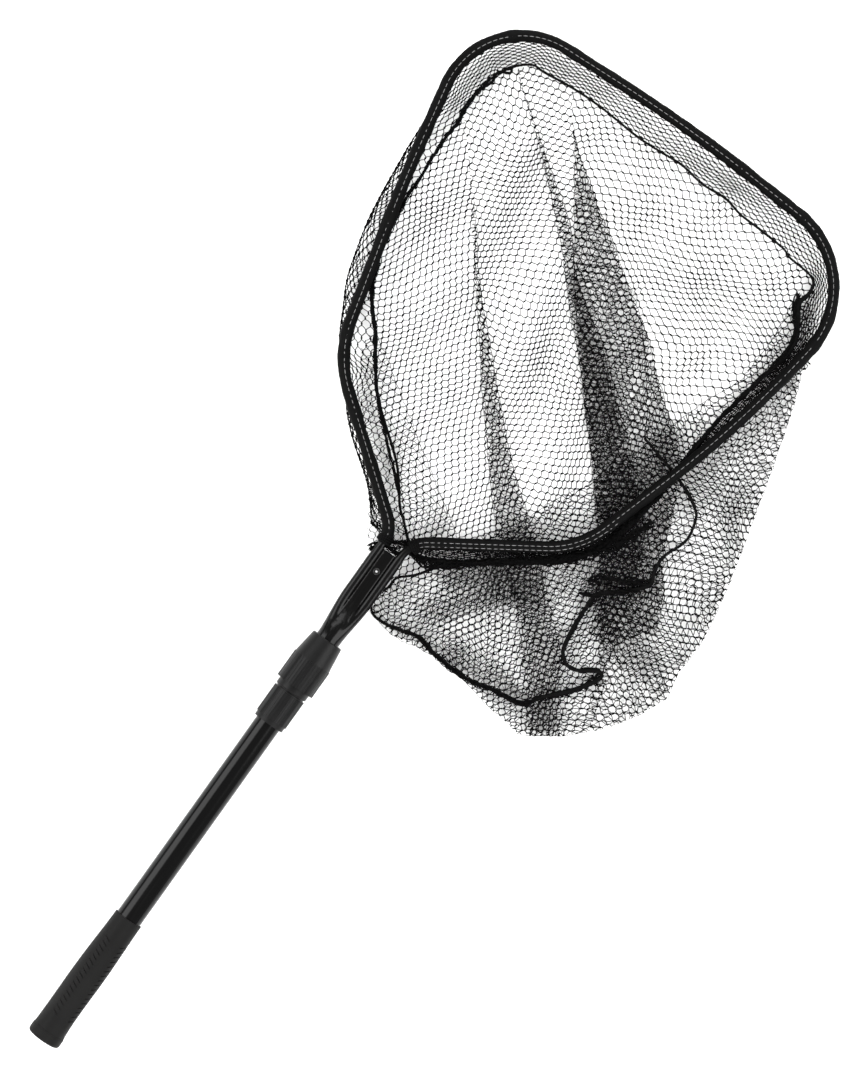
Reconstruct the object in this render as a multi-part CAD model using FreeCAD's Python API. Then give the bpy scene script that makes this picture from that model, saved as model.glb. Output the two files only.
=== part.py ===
# Telescopic landing net, lying flat with its mesh bag collapsed and spread to one side.
# Frame: origin at the centre of the butt end on the pole's axis, +X along the pole towards the
# hoop, +Z up and square to the hoop's plane, millimetres.
import FreeCAD, Part
import math
import os

V = FreeCAD.Vector

# ---------------------------------------------------------------- pole tubes
handle_tube_radius = 15.25
handle_tube_wall = 0.80
handle_tube_end = 500.0          # upper end, in the socket of the clamp body
tube_gap = 0.30                  # radial, between the inner tube and the handle tube's bore
inner_tube_wall = 1.00
parked_gap = 3.0                 # above the butt plug, when the pole is pushed fully in

# ---------------------------------------------------------------- grip
grip_length = 166.0
grip_rim_wall = 4.95             # walls of rubber, over the handle tube
grip_body_wall = 3.85
grip_top_wall = 1.75
grip_rim_length = 12.0
grip_body_end = 95.0             # from here the grip narrows to its upper end
grip_closed_end = 6.0
grip_edge_round = 4.0
grip_shoulder = 0.5              # the body's swell where it leaves the rim
grip_lobe_start = 26.0
grip_lobe_count = 5
grip_lobe_depth = 0.7
grip_lobe_angle = -19.0          # first lobe, measured from +Z towards -Y
grip_fit_gap = 0.05
slit_first = 36.0
slit_last = 136.0
slit_count = 17
slit_length = 9.0
slit_width = 1.1
slit_depth = 1.1
slit_slant = 24.0

# ---------------------------------------------------------------- butt plug
plug_flange = 2.5
plug_length = 20.0
plug_fit_gap = 0.10
plug_wall = 2.0

# ---------------------------------------------------------------- clamp body
clamp_socket = 65.0              # how much of the handle tube it holds
clamp_length = 41.0              # what shows below the nut
clamp_flange_length = 5.6
clamp_flange_wall = 3.25         # walls of plastic, over the handle tube
clamp_wall = 4.15
clamp_spigot_wall = 2.35
clamp_spigot_past_tube = 7.0
clamp_rib_height = 0.5
clamp_rib_count = 14
clamp_rib_width = 3.4
clamp_knurl_count = 1

# ---------------------------------------------------------------- lock nut and collet
nut_gap = 2.0                    # along the pole, between the clamp body and the nut
nut_running_gap = 0.30           # radial, round the clamp body's spigot
nut_wall = 4.9                   # over its thread bore
nut_ring_wall = 1.7
nut_ring_length = 7.8
nut_ring_round = 1.2
nut_ribbed_length = 34.0
nut_rib_height = 0.7
nut_rib_count = 8
nut_rib_width = 4.3
knurl_count = 4                  # fine grooves between two neighbouring ribs
knurl_depth = 0.35
knurl_width = 0.9
rib_crown = 0.72                 # width of a rib's top over the width of its foot
nut_cone_length = 29.6
nut_mouth_gap = 0.35             # radial, round the inner tube
nut_mouth_wall = 4.4
nut_mouth_round = 1.5
nut_lip_length = 12.0            # beyond the collet's tip
collet_running_gap = 0.10        # radial, round the inner tube
collet_to_nut_gap = 0.35
collet_foot_step = 0.4
collet_tip_wall = 1.15
collet_slot_count = 6
collet_slot_width = 1.6
collet_slot_share = 0.73         # how far up the collet its slots run

# ---------------------------------------------------------------- guide bush and spindle
bush_length = 23.4
bush_running_gap = 0.10          # radial, in the handle tube
bush_end_gap = 0.30
spindle_radius = 8.0
spindle_running_gap = 0.10
spindle_flange = 1.7
spindle_plug_length = 20.0
spindle_fit_gap = 0.05
bush_washer_radius = 11.0
bush_washer_thickness = 1.8
bush_screw_head_radius = 5.0
bush_screw_head_height = 3.0
bush_screw_head_round = 1.0
bush_screw_radius = 2.0
bush_screw_length = 14.0
bush_screw_slot_width = 1.2
bush_screw_slot_depth = 1.4

# ---------------------------------------------------------------- crimped end of the inner tube
flare_hidden = 2.4               # the flare starts this far inside the nut's mouth
flare_length = 61.0
flare_swell = 0.10               # the die leaves the tube this much fuller at the flare's foot
flare_steps = 6
crimp_length = 61.0
arm_depth = 74.0                 # how far each hoop arm reaches into the crimp
arm_tail = 3.0                   # clear length of each bore below the arm's end
arm_fit_gap = 0.05
lobe_pitch = 25.5                # between the centres of the two hoop arms
lobe_wall = 0.95
web_thickness = 2.2
web_root = 0.35                  # the web's extra half thickness beside each lobe
web_ridge_pitch = 3.6
web_ridge_width = 1.1
web_ridge_height = 0.8
web_ridge_reach = 5.0            # how far the ridges run on below the crimp
ridge_root = 0.3                 # how deep a ridge is rooted in the web

# ---------------------------------------------------------------- yoke rivet
rivet_setback = 25.5             # from the crimp's end
rivet_shank_radius = 2.4
rivet_head_radius = 4.1
rivet_head_height = 1.6
rivet_head_round = 1.0
rivet_bore_radius = 1.3
rivet_seat_gap = 0.2

# ---------------------------------------------------------------- hoop, from the crimp's end
hoop_length = 583.5
hoop_half_width = 275.4          # at the left far corner's point, before it is rounded
hoop_tube_radius = 4.75
hoop_tube_wall = 1.0
hoop_elbow_clear = 3.3           # straight arm between the crimp and the elbow
hoop_elbow_radius = 36.0
# Each side's near corner, knee and far corner: shares of the hoop's length and half width,
# and the radius bent there, as a share of the length. The right side was bent a little flatter.
left_side = [(0.250, 0.641, 0.210), (0.597, 0.835, 3.430), (0.976, 1.000, 0.160)]
right_side = [(0.219, 0.620, 0.180), (0.583, 0.853, 2.140), (0.976, 0.971, 0.182)]
far_middle_radius_share = 3.09
fullest_run = 0.97               # the most of a straight run that the arcs at its ends may take

# ---------------------------------------------------------------- rim sleeve and ties
sleeve_wall = 2.3
sleeve_gap = 0.15
tie_cord_radius = 1.3
tie_length = 8.0
right_sleeve_setback = 0.34      # share of the right elbow that stays bare

# ---------------------------------------------------------------- net bag, as it lies
floor_gap = 0.30                 # the bag's underside stays this far above the nut's lowest point
mesh_thickness = 1.5
band_drop = 0.95                 # from the ties down to the band
panel_drop = 0.60                # from the band down to the front panel
seam_cord_radius = 1.3
seam_gap = 0.4

# Outlines from the crimp's end, drawn for a hoop of this length and half width, and
# stretched with the hoop.
drawn_length = 583.5
drawn_half_width = 275.4
bag_outline = [
    (-4, 25), (51, 68), (96, 125), (163, 182), (221, 218), (331, 243), (446, 249),
    (516, 232), (561, 170), (574, 60), (574, -60), (561, -170), (521, -225),
    (441, -262), (331, -294), (201, -330), (116, -345), (46, -349), (-14, -317),
    (-57, -275), (-82, -235), (-74, -180), (-65, -125), (-70, -85), (-72, -50), (-61, -18),
]
mouth_outline = [
    (34, 3), (87, 53), (136, 114), (191, 157), (231, 187), (271, 203), (341, 215),
    (451, 222), (506, 214), (535, 188), (542, 100), (544, -14), (540, -100),
    (531, -175), (517, -211), (461, -230), (391, -224), (281, -205), (161, -168),
    (116, -140), (76, -90), (43, -32),
]
bottom_outline = [
    (31, -60), (-19, -26), (-51, -24), (-63, -48), (-55, -85), (-58, -125), (-57, -165),
    (-47, -212), (-24, -240), (25, -268), (31, -236), (81, -220), (139, -256),
    (203, -262), (236, -250), (256, -212), (263, -165), (196, -122), (116, -100),
]

# ---------------------------------------------------------------- values that follow
handle_bore_radius = handle_tube_radius - handle_tube_wall
handle_tube_start = grip_closed_end + plug_flange
inner_tube_radius = handle_bore_radius - tube_gap
inner_bore_radius = inner_tube_radius - inner_tube_wall

grip_rim_radius = handle_tube_radius + grip_rim_wall
grip_body_radius = handle_tube_radius + grip_body_wall
grip_top_radius = handle_tube_radius + grip_top_wall

clamp_start = handle_tube_end - clamp_socket
clamp_ribbed_end = clamp_start + clamp_length
clamp_spigot_end = handle_tube_end + clamp_spigot_past_tube
clamp_radius = handle_tube_radius + clamp_wall
clamp_spigot_radius = handle_tube_radius + clamp_spigot_wall
throat_radius = inner_tube_radius + nut_mouth_gap

nut_start = clamp_ribbed_end + nut_gap
nut_ribbed_start = nut_start + nut_ring_length
nut_cone_start = nut_ribbed_start + nut_ribbed_length
nut_end = nut_cone_start + nut_cone_length
thread_bore_radius = clamp_spigot_radius + nut_running_gap
nut_radius = thread_bore_radius + nut_wall
nut_outer_radius = nut_radius + nut_rib_height

collet_start = clamp_spigot_end
collet_end = nut_end - nut_lip_length
collet_foot_radius = clamp_spigot_radius - collet_foot_step
collet_tip_radius = inner_tube_radius + collet_running_gap + collet_tip_wall

spindle_stack = bush_screw_head_height + bush_washer_thickness + bush_length + 2 * bush_end_gap
inner_tube_start = handle_tube_start + plug_length + parked_gap + spindle_stack + spindle_flange
bush_end = inner_tube_start - spindle_flange - bush_end_gap
bush_start = bush_end - bush_length
spindle_end = bush_start - bush_end_gap

flare_start = nut_end - flare_hidden
crimp_start = flare_start + flare_length
crimp_end = crimp_start + crimp_length
arm_bore_start = crimp_end - arm_depth - arm_tail
arm_bore_radius = hoop_tube_radius + arm_fit_gap
lobe_radius = arm_bore_radius + lobe_wall
rivet_x = crimp_end - rivet_setback

sleeve_bore_radius = hoop_tube_radius + sleeve_gap
sleeve_radius = sleeve_bore_radius + sleeve_wall
tie_bore_radius = sleeve_radius + sleeve_gap
tie_radius = tie_bore_radius + 2 * tie_cord_radius

mesh_bottom = floor_gap - nut_outer_radius
mesh_top = mesh_bottom + mesh_thickness
band_top = -tie_radius - band_drop
front_panel_top = band_top - mesh_thickness - panel_drop
seam_room = seam_cord_radius + seam_gap


def x_cylinder(start, end, radius):
    return Part.makeCylinder(radius, end - start, V(start, 0, 0), V(1, 0, 0))


def x_tube(start, end, outer, inner):
    return x_cylinder(start, end, outer).cut(x_cylinder(start - 1, end + 1, inner))


def x_cone(start, end, start_radius, end_radius):
    return Part.makeCone(start_radius, end_radius, end - start, V(start, 0, 0), V(1, 0, 0))


def turned(profile):
    """A solid of revolution about the pole's axis from a list of (x, radius) points."""
    wire = Part.makePolygon([V(x, 0, r) for x, r in profile] + [V(profile[0][0], 0, profile[0][1])])
    return Part.Face(wire).revolve(V(0, 0, 0), V(1, 0, 0), 360)


def about_axis(shape, degrees):
    """A copy of the shape, turned about the pole's axis from +Z towards -Y."""
    turned_shape = shape.copy()
    turned_shape.rotate(V(0, 0, 0), V(1, 0, 0), degrees)
    return turned_shape


def save(name, shape):
    if not shape.isValid():
        raise ValueError(name + " is not a valid shape")
    shape.exportStep(os.path.join("parts", name + ".step"))
    print("%-20s solids %d  volume %.1f" % (name, len(shape.Solids), shape.Volume))


# ---------------------------------------------------------------- rounded routes
def corner_tangent(before, at, after, radius):
    """Tangent points, middle point and length taken by an arc that rounds one corner."""
    to_before = (before - at).normalize()
    to_after = (after - at).normalize()
    half_angle = to_before.getAngle(to_after) / 2
    taken = radius / math.tan(half_angle)
    bisector = (to_before + to_after).normalize()
    middle = at + bisector * (radius / math.sin(half_angle) - radius)
    return at + to_before * taken, middle, at + to_after * taken


def widest_arc(before, at, after):
    """The largest radius that leaves a tenth of the shorter run straight."""
    half_angle = (before - at).getAngle(after - at) / 2
    return 0.45 * min((before - at).Length, (after - at).Length) * math.tan(half_angle)


def eased_radii(points, radii):
    """The radii of a route, the wider of two neighbours cut down where their arcs would meet."""
    radii = list(radii)
    for i in range(len(radii) - 1):
        run = (points[i + 2] - points[i + 1]).Length * fullest_run
        taken = []
        for j in (i, i + 1):
            start, middle, end = corner_tangent(points[j], points[j + 1], points[j + 2], radii[j])
            taken.append((points[j + 1] - start).Length)
        if sum(taken) > run:
            wide = 0 if radii[i] > radii[i + 1] else 1
            radii[i + wide] *= (run - taken[1 - wide]) / taken[wide]
    return radii


def rounded_route(points, radii):
    """Edges of an open route: straight runs joined by tangent arcs."""
    radii = eased_radii(points, radii)
    edges = []
    last = points[0]
    for i in range(1, len(points) - 1):
        start, middle, end = corner_tangent(points[i - 1], points[i], points[i + 1], radii[i - 1])
        edges.append(Part.makeLine(last, start))
        edges.append(Part.Arc(start, middle, end).toShape())
        last = end
    edges.append(Part.makeLine(last, points[-1]))
    return edges


def rounded_loop(outline, level):
    """A closed flat wire through an outline's corners, each rounded as widely as it allows."""
    points = [V(crimp_end + x * hoop_length / drawn_length, y * hoop_half_width / drawn_half_width, level)
              for x, y in outline]
    count = len(points)
    corners = []
    for i in range(count):
        before, at, after = points[i - 1], points[i], points[(i + 1) % count]
        corners.append(corner_tangent(before, at, after, widest_arc(before, at, after)))
    edges = []
    for i in range(count):
        start, middle, end = corners[i]
        edges.append(Part.Arc(start, middle, end).toShape())
        edges.append(Part.makeLine(end, corners[(i + 1) % count][0]))
    return Part.Wire(edges)


def bar(edges, radius, bore=0.0):
    """A round bar or tube along tangent edges, each straight or an arc."""
    pieces = []
    for edge in edges:
        start = edge.valueAt(edge.FirstParameter)
        heading = edge.tangentAt(edge.FirstParameter)
        disc = Part.Face(Part.Wire(Part.makeCircle(radius, start, heading)))
        if bore:
            disc = disc.cut(Part.Face(Part.Wire(Part.makeCircle(bore, start, heading)))).Faces[0]
        if edge.Curve.TypeId == "Part::GeomLine":
            pieces.append(disc.extrude(heading * edge.Length))
        else:
            turn = math.degrees(edge.Length / edge.Curve.Radius)
            pieces.append(disc.revolve(edge.Curve.Center, edge.Curve.Axis, turn))
    return pieces[0].fuse(pieces[1:]) if len(pieces) > 1 else pieces[0]


def sheet(loop, bottom, top, inset=0.0):
    """A flat sheet inside a loop, from one level to another."""
    wire = loop.makeOffset2D(-inset) if inset else loop
    flat = Part.Face(wire)
    flat.translate(V(0, 0, bottom - wire.BoundBox.ZMin))
    return flat.extrude(V(0, 0, top - bottom))


# ---------------------------------------------------------------- handle
def handle_tube():
    return x_tube(handle_tube_start, handle_tube_end, handle_tube_radius, handle_bore_radius)


def lobed_ring(x, radius, depth):
    """One section of the grip: a circle pressed in between its lobes."""
    points = []
    steps = 8 * grip_lobe_count
    for i in range(steps):
        turn = 2 * math.pi * i / steps
        swell = 0.5 - 0.5 * math.cos(grip_lobe_count * turn)
        r = radius - depth * swell
        angle = turn + math.radians(grip_lobe_angle)
        points.append(V(x, -r * math.sin(angle), r * math.cos(angle)))
    curve = Part.BSplineCurve()
    curve.interpolate(points, PeriodicFlag=True)
    return Part.Wire(curve.toShape())


def grip_sleeve():
    stations = [
        (grip_rim_length, grip_body_radius + grip_shoulder, 0.0),
        (grip_lobe_start, grip_body_radius, grip_lobe_depth),
        (grip_body_end, grip_body_radius, grip_lobe_depth),
        ((grip_body_end + grip_length) / 2, (grip_body_radius + grip_top_radius) / 2, grip_lobe_depth / 2),
        (grip_length, grip_top_radius, 0.0),
    ]
    body = Part.makeLoft([lobed_ring(x, r, d) for x, r, d in stations], True, False)
    rim = x_cylinder(0, grip_rim_length, grip_rim_radius)
    butt_edges = [e for e in rim.Edges if e.BoundBox.XMax < 0.1]
    rim = rim.makeFillet(grip_edge_round, butt_edges)
    grip = body.fuse(rim)
    slits = []
    pitch = (slit_last - slit_first) / (slit_count - 1)
    for row in range(grip_lobe_count):
        slant = slit_slant if row % 2 else -slit_slant
        for i in range(slit_count):
            x = slit_first + i * pitch
            taper = max(0.0, x - grip_body_end) / (grip_length - grip_body_end)
            surface = grip_body_radius + taper * (grip_top_radius - grip_body_radius)
            slit = Part.makeBox(slit_width, slit_length, grip_rim_wall + slit_depth,
                                V(-slit_width / 2, -slit_length / 2, surface - slit_depth))
            slit.rotate(V(0, 0, 0), V(0, 0, 1), slant)
            slit.translate(V(x, 0, 0))
            slits.append(about_axis(slit, grip_lobe_angle + 360.0 * row / grip_lobe_count))
    grip = grip.cut(Part.makeCompound(slits))
    bore = x_cylinder(grip_closed_end, grip_length + 1, handle_tube_radius + grip_fit_gap)
    return grip.cut(bore).removeSplitter()


def butt_plug():
    outer = handle_bore_radius - plug_fit_gap
    plug_end = handle_tube_start + plug_length
    flange = x_cylinder(grip_closed_end, handle_tube_start, handle_tube_radius)
    stub = x_cylinder(handle_tube_start, plug_end, outer)
    hollow = x_cylinder(handle_tube_start, plug_end + 1, outer - plug_wall)
    return flange.fuse(stub).cut(hollow)


# ---------------------------------------------------------------- ribbed collars
def ribbed_bar(start, end, radius, rib_height, rib_count, rib_width, grooves):
    """A round bar with wide raised ribs along it and fine grooves between them."""
    points = []

    def corner(r, angle):
        points.append(V(start, -r * math.sin(angle), r * math.cos(angle)))

    rib_half = rib_width / radius / 2
    knurl_half = knurl_width / radius / 2
    pitch = 2 * math.pi / rib_count
    for rib in range(rib_count):
        middle = rib * pitch
        corner(radius, middle - rib_half)
        corner(radius + rib_height, middle - rib_half * rib_crown)
        corner(radius + rib_height, middle)
        corner(radius + rib_height, middle + rib_half * rib_crown)
        corner(radius, middle + rib_half)
        free = pitch - 2 * rib_half
        for groove in range(grooves):
            at = middle + rib_half + free * (groove + 0.5) / grooves
            corner(radius, at - knurl_half)
            corner(radius - knurl_depth, at)
            corner(radius, at + knurl_half)
    outline = Part.makePolygon(points + [points[0]])
    return Part.Face(outline).extrude(V(end - start, 0, 0))


def clamp_body():
    flange_end = clamp_start + clamp_flange_length
    flange = x_cylinder(clamp_start, flange_end, handle_tube_radius + clamp_flange_wall)
    ribbed = ribbed_bar(flange_end, clamp_ribbed_end, clamp_radius, clamp_rib_height,
                        clamp_rib_count, clamp_rib_width, clamp_knurl_count)
    spigot = x_cylinder(clamp_ribbed_end, clamp_spigot_end, clamp_spigot_radius)
    socket = x_cylinder(clamp_start - 1, handle_tube_end, handle_tube_radius + grip_fit_gap)
    throat = x_cylinder(clamp_start - 1, clamp_spigot_end + 1, throat_radius)
    return flange.fuse([ribbed, spigot]).cut(socket).cut(throat).removeSplitter()


def collet():
    ring = x_cone(collet_start, collet_end, collet_foot_radius, collet_tip_radius)
    ring = ring.cut(x_cylinder(collet_start - 1, collet_end + 1, inner_tube_radius + collet_running_gap))
    slot_length = collet_slot_share * (collet_end - collet_start)
    slots = []
    for i in range(collet_slot_count):
        slot = Part.makeBox(slot_length + 1, collet_slot_width, 2 * collet_foot_radius,
                            V(collet_end - slot_length, -collet_slot_width / 2, 0))
        slots.append(about_axis(slot, 360.0 * i / collet_slot_count))
    return ring.cut(Part.makeCompound(slots))


def lock_nut():
    ring = x_cylinder(nut_start, nut_ribbed_start, thread_bore_radius + nut_ring_wall)
    ring = ring.makeFillet(nut_ring_round, [e for e in ring.Edges if e.BoundBox.XMax < nut_start + 0.1])
    ribbed = ribbed_bar(nut_ribbed_start, nut_cone_start, nut_radius, nut_rib_height,
                        nut_rib_count, nut_rib_width, knurl_count)
    cone = x_cone(nut_cone_start, nut_end, nut_radius, throat_radius + nut_mouth_wall)
    cone = cone.makeFillet(nut_mouth_round, [e for e in cone.Edges if e.BoundBox.XMin > nut_end - 0.1])
    body = ring.fuse([ribbed, cone])
    seat_end = collet_end + collet_to_nut_gap
    hollow = turned([
        (nut_start - 1, 0),
        (nut_start - 1, thread_bore_radius),
        (collet_start, thread_bore_radius),
        (collet_start, collet_foot_radius + collet_to_nut_gap),
        (seat_end, collet_tip_radius + collet_to_nut_gap),
        (seat_end, throat_radius),
        (nut_end + 1, throat_radius),
        (nut_end + 1, 0),
    ])
    return body.cut(hollow).removeSplitter()


# ---------------------------------------------------------------- guide and spindle
def guide_bush():
    outer = handle_bore_radius - bush_running_gap
    return x_tube(bush_start, bush_end, outer, spindle_radius + spindle_running_gap)


def tube_spindle():
    plug_end = inner_tube_start + spindle_plug_length
    flange_start = inner_tube_start - spindle_flange
    spindle = x_cylinder(spindle_end, flange_start, spindle_radius)
    flange = x_cylinder(flange_start, inner_tube_start, inner_tube_radius)
    plug = x_cylinder(inner_tube_start, plug_end, inner_bore_radius - spindle_fit_gap)
    screw_hole = x_cylinder(spindle_end - 1, spindle_end + bush_screw_length, bush_screw_radius)
    return spindle.fuse([flange, plug]).cut(screw_hole)


def bush_washer():
    start = spindle_end - bush_washer_thickness
    return x_tube(start, spindle_end, bush_washer_radius, bush_screw_radius + spindle_running_gap)


def bush_screw():
    seat = spindle_end - bush_washer_thickness
    head = x_cylinder(seat - bush_screw_head_height, seat, bush_screw_head_radius)
    top = seat - bush_screw_head_height
    head = head.makeFillet(bush_screw_head_round, [e for e in head.Edges if e.BoundBox.XMax < top + 0.1])
    shank = x_cylinder(seat, spindle_end + bush_screw_length - 1, bush_screw_radius)
    slot = Part.makeBox(bush_screw_slot_depth, bush_screw_slot_width, 2 * bush_screw_head_radius,
                        V(top, -bush_screw_slot_width / 2, -bush_screw_head_radius))
    return head.fuse(shank).cut(slot)


# ---------------------------------------------------------------- inner tube with its crimp
def crimp_quarter():
    """The crimp's section in one quarter, from the outer side of a lobe to the web's middle."""
    centre = lobe_pitch / 2
    points = [(centre + lobe_radius * math.cos(math.radians(a)), lobe_radius * math.sin(math.radians(a)))
              for a in (0, 35, 70, 105, 140)]
    half_web = web_thickness / 2
    points.append((centre - lobe_radius - web_root, half_web + web_root))
    points.append((centre / 3, half_web))
    points.append((0.0, half_web))
    return points


def round_quarter(quarter):
    """Points on the round tube that share out its quarter as the crimp's points do."""
    lengths = [0.0]
    for a, b in zip(quarter, quarter[1:]):
        lengths.append(lengths[-1] + math.dist(a, b))
    angles = [math.pi / 2 * s / lengths[-1] for s in lengths]
    radius = inner_tube_radius + flare_swell
    return [(radius * math.cos(a), radius * math.sin(a)) for a in angles]


def smooth_share(t):
    """A share that starts and ends gently, for the change from round to crimped."""
    return t * t * (3 - 2 * t)


def whole_ring(x, quarter):
    """A closed smooth section from one quarter, mirrored about both axes."""
    up = [V(x, y, z) for y, z in quarter]
    over = [V(x, -y, z) for y, z in reversed(quarter[:-1])]
    down = [V(x, -y, -z) for y, z in quarter[1:]]
    back = [V(x, y, -z) for y, z in reversed(quarter[1:-1])]
    curve = Part.BSplineCurve()
    curve.interpolate(up + over + down + back, PeriodicFlag=True)
    return Part.Wire(curve.toShape())


def inner_tube():
    crimped = crimp_quarter()
    rounded = round_quarter(crimped)

    def section(x, share):
        quarter = [(r[0] + share * (c[0] - r[0]), r[1] + share * (c[1] - r[1]))
                   for r, c in zip(rounded, crimped)]
        return whole_ring(x, quarter)

    rings = []
    for i in range(flare_steps + 1):
        at = i / flare_steps
        rings.append(section(flare_start + flare_length * at, smooth_share(at)))
    for i in range(1, flare_steps + 1):
        rings.append(section(crimp_start + crimp_length * i / flare_steps, 1.0))
    head = Part.makeLoft(rings, True, False)
    stem = x_cylinder(inner_tube_start, flare_start, inner_tube_radius)
    body = stem.fuse(head).cut(x_cylinder(inner_tube_start - 1, flare_start, inner_bore_radius))
    arms = [Part.makeCylinder(arm_bore_radius, arm_depth + arm_tail + 1,
                              V(arm_bore_start, side * lobe_pitch / 2, 0), V(1, 0, 0)) for side in (-1, 1)]
    body = body.cut(arms)
    half_web = web_thickness / 2
    ridges = []
    for side in (-1, 1):
        for low in (half_web - ridge_root, -half_web - web_ridge_height):
            corner = V(crimp_start - web_ridge_reach, side * web_ridge_pitch / 2 - web_ridge_width / 2, low)
            ridges.append(Part.makeBox(crimp_length + web_ridge_reach, web_ridge_width,
                                       web_ridge_height + ridge_root, corner))
    body = body.fuse(ridges)
    reach = handle_tube_radius
    seat_radius = rivet_head_radius + rivet_seat_gap
    hole = Part.makeCylinder(rivet_shank_radius + arm_fit_gap, 2 * reach, V(rivet_x, 0, -reach))
    seat = Part.makeCylinder(seat_radius, reach, V(rivet_x, 0, half_web))
    back_seat = Part.makeCylinder(seat_radius, reach, V(rivet_x, 0, -half_web), V(0, 0, -1))
    return body.cut(hole).cut(seat).cut(back_seat)


def yoke_rivet():
    half = web_thickness / 2
    shank = Part.makeCylinder(rivet_shank_radius, web_thickness, V(rivet_x, 0, -half))
    heads = []
    for side in (-1, 1):
        seat = V(rivet_x, 0, side * half)
        head = Part.makeCylinder(rivet_head_radius, rivet_head_height, seat, V(0, 0, side))
        rim = [e for e in head.Edges if min(side * e.BoundBox.ZMin, side * e.BoundBox.ZMax) > half + 0.1]
        heads.append(head.makeFillet(rivet_head_round, rim))
    reach = half + rivet_head_height + 1
    bore = Part.makeCylinder(rivet_bore_radius, 2 * reach, V(rivet_x, 0, -reach))
    return shank.fuse(heads).cut(bore)


# ---------------------------------------------------------------- hoop and what is on it
def hoop_side(shares, hand):
    """One side's corner points and the radii there, from the arm's end to the far corner."""
    arm_y = hand * lobe_pitch / 2
    corners = [V(crimp_end + x * hoop_length, hand * y * hoop_half_width, 0) for x, y, r in shares]
    elbow = V(crimp_end + hoop_elbow_clear, arm_y, 0)
    for _ in range(6):
        turn = (corners[0] - elbow).getAngle(V(1, 0, 0))
        elbow.x = crimp_end + hoop_elbow_clear + hoop_elbow_radius * math.tan(turn / 2)
    points = [V(crimp_end - arm_depth, arm_y, 0), elbow] + corners
    radii = [hoop_elbow_radius] + [r * hoop_length for x, y, r in shares]
    return points, radii


def hoop_edges():
    """The hoop's centre line, from the left arm's end round to the right's."""
    left_points, left_radii = hoop_side(left_side, 1)
    right_points, right_radii = hoop_side(right_side, -1)
    points = left_points + [V(crimp_end + hoop_length, 0, 0)] + right_points[::-1]
    radii = left_radii + [far_middle_radius_share * hoop_length] + right_radii[::-1]
    return rounded_route(points, radii)


def hoop_frame():
    return bar(hoop_edges(), hoop_tube_radius, hoop_tube_radius - hoop_tube_wall)


def sleeve_edges():
    """The covered part of the hoop: all but the ends in the crimp and part of the right elbow."""
    edges = hoop_edges()[1:-1]
    elbow = edges[-1]
    first, last = elbow.FirstParameter, elbow.LastParameter
    start_end = elbow.valueAt(first)
    if start_end.x < elbow.valueAt(last).x:
        kept = elbow.Curve.toShape(first + right_sleeve_setback * (last - first), last)
    else:
        kept = elbow.Curve.toShape(first, last - right_sleeve_setback * (last - first))
    return edges[:-1] + [kept]


def rim_sleeve():
    return bar(sleeve_edges(), sleeve_radius, sleeve_bore_radius)


def sleeve_tie(edge, from_start):
    """The band of cord drawn tight round one end of the sleeve."""
    near, far = seam_gap, seam_gap + tie_length
    if not from_start:
        near, far = edge.Length - far, edge.Length - near
    part = edge.Curve.toShape(edge.getParameterByLength(near), edge.getParameterByLength(far))
    return bar([part], tie_radius, tie_bore_radius)


# ---------------------------------------------------------------- net bag
def band_edge():
    """The hoop's centre line, closed by a straight run between its two elbows."""
    edges = hoop_edges()[1:-1]
    left = edges[0].valueAt(edges[0].FirstParameter)
    right = edges[-1].valueAt(edges[-1].LastParameter)
    return Part.Wire(edges + [Part.makeLine(right, left)])


def mouth_cutter(top):
    """What is cleared inside the bag's mouth, with room for the cord round its edge."""
    return sheet(rounded_loop(mouth_outline, 0), top - 2 * mesh_thickness, top + mesh_thickness, -seam_room)


def net_band():
    return sheet(band_edge(), band_top - mesh_thickness, band_top).cut(mouth_cutter(band_top))


def net_front_panel():
    outer = rounded_loop(bag_outline, 0)
    skirt_bottom = mesh_top + seam_gap
    block = sheet(outer, skirt_bottom, front_panel_top)
    hollow = sheet(outer, skirt_bottom - 1, front_panel_top - mesh_thickness, mesh_thickness)
    return block.cut(hollow).cut(mouth_cutter(front_panel_top))


def net_bottom_panel():
    return sheet(rounded_loop(bottom_outline, 0), mesh_bottom, mesh_top, seam_room)


def net_back_panel():
    panel = sheet(rounded_loop(bag_outline, 0), mesh_bottom, mesh_top)
    return panel.cut(sheet(rounded_loop(bottom_outline, 0), mesh_bottom - 1, mesh_top + 1, -seam_room))


def seam_cord(outline, level):
    return bar(rounded_loop(outline, level).OrderedEdges, seam_cord_radius)


os.makedirs("parts", exist_ok=True)

save("handle_tube", handle_tube())
save("grip_sleeve", grip_sleeve())
save("butt_plug", butt_plug())
save("clamp_body", clamp_body())
save("collet", collet())
save("lock_nut", lock_nut())
save("guide_bush", guide_bush())
save("tube_spindle", tube_spindle())
save("bush_washer", bush_washer())
save("bush_screw", bush_screw())
save("inner_tube", inner_tube())
save("yoke_rivet", yoke_rivet())
save("hoop_frame", hoop_frame())
save("rim_sleeve", rim_sleeve())
covered = sleeve_edges()
save("sleeve_tie_left", sleeve_tie(covered[0], True))
save("sleeve_tie_right", sleeve_tie(covered[-1], False))
save("net_band", net_band())
save("net_front_panel", net_front_panel())
save("net_back_panel", net_back_panel())
save("net_bottom_panel", net_bottom_panel())
save("seam_cord_upper", seam_cord(mouth_outline, (band_top + front_panel_top - mesh_thickness) / 2))
save("seam_cord_lower", seam_cord(bottom_outline, mesh_bottom + seam_cord_radius))
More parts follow.
